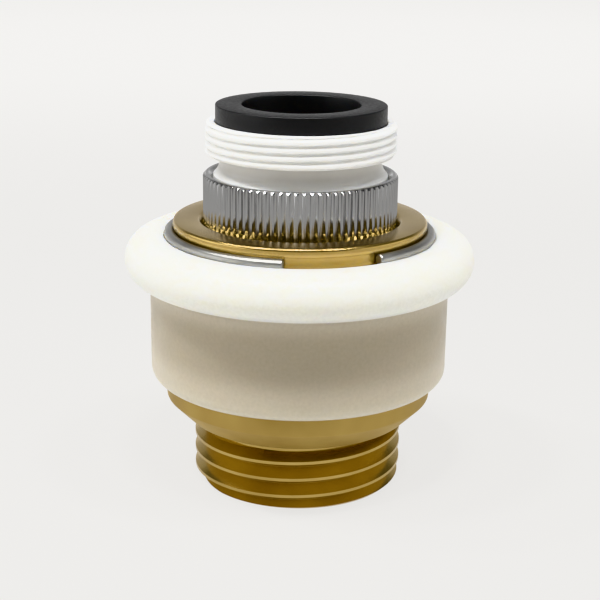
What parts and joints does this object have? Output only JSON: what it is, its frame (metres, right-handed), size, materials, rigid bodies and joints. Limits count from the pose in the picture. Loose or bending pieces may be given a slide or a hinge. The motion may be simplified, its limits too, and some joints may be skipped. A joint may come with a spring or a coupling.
{
  "type": "quick-release tap coupling",
  "caption": "Tap coupling: white threaded aerator adapter with a washer on a knurled chrome nipple, locked in a brass hose coupler by a sprung white release collar.",
  "frame": {"origin": "centre of the hose end's face, which the coupling stands on", "axes": "+Z along the waterway up to the tap end, -Y towards the front, +X to its right"},
  "size_m": [0.0441, 0.044, 0.0485],
  "materials": {
    "black_rubber": "matte moulded rubber",
    "white_plastic": "satin moulded plastic",
    "chrome": "bright chrome plate over a straight knurl",
    "brass": "turned brass, bright",
    "spring_steel": "drawn steel wire",
    "white_nylon": "satin turned nylon",
    "ball_steel": "polished steel"
  },
  "bodies": {
    "coupler": {"coupler_body": "brass", "retaining_ring": "spring_steel", "socket_seal": "black_rubber", "collar_spring": "spring_steel"},
    "collar": {"release_collar": "white_nylon"},
    "nipple": {"snap_nipple": "chrome", "cup_washer": "black_rubber", "aerator_adapter": "white_plastic", "faucet_washer": "black_rubber"},
    "ball_1": {"locking_ball_1": "ball_steel"},
    "ball_2": {"locking_ball_2": "ball_steel"},
    "ball_3": {"locking_ball_3": "ball_steel"},
    "ball_4": {"locking_ball_4": "ball_steel"},
    "ball_5": {"locking_ball_5": "ball_steel"},
    "ball_6": {"locking_ball_6": "ball_steel"}
  },
  "joints": [
    {"name": "collar_slide", "type": "slide", "parent": "coupler", "child": "collar", "axis": [0, 0, -1], "range_m": [0, 0.0034], "stiffness_N_per_m": 1200, "springref_m": -0.004, "deforming": ["collar_spring"]},
    {"name": "nipple_swivel", "type": "hinge", "parent": "coupler", "child": "nipple", "pos_m": [0, 0, 0.034], "axis": [0, 0, 1], "continuous": true},
    {"name": "ball_1_release", "type": "slide", "parent": "coupler", "child": "ball_1", "axis": [0.866, 0.5, 0], "range_m": [0, 0.0008]},
    {"name": "ball_2_release", "type": "slide", "parent": "coupler", "child": "ball_2", "axis": [0, 1, 0], "range_m": [0, 0.0008]},
    {"name": "ball_3_release", "type": "slide", "parent": "coupler", "child": "ball_3", "axis": [-0.866, 0.5, 0], "range_m": [0, 0.0008]},
    {"name": "ball_4_release", "type": "slide", "parent": "coupler", "child": "ball_4", "axis": [-0.866, -0.5, 0], "range_m": [0, 0.0008]},
    {"name": "ball_5_release", "type": "slide", "parent": "coupler", "child": "ball_5", "axis": [0, -1, 0], "range_m": [0, 0.0008]},
    {"name": "ball_6_release", "type": "slide", "parent": "coupler", "child": "ball_6", "axis": [0.866, -0.5, 0], "range_m": [0, 0.0008]}
  ],
  "couplings": [
    {"joint": "ball_1_release", "follows": "collar_slide", "ratio": 0.23529},
    {"joint": "ball_2_release", "follows": "collar_slide", "ratio": 0.23529},
    {"joint": "ball_3_release", "follows": "collar_slide", "ratio": 0.23529},
    {"joint": "ball_4_release", "follows": "collar_slide", "ratio": 0.23529},
    {"joint": "ball_5_release", "follows": "collar_slide", "ratio": 0.23529},
    {"joint": "ball_6_release", "follows": "collar_slide", "ratio": 0.23529}
  ]
}
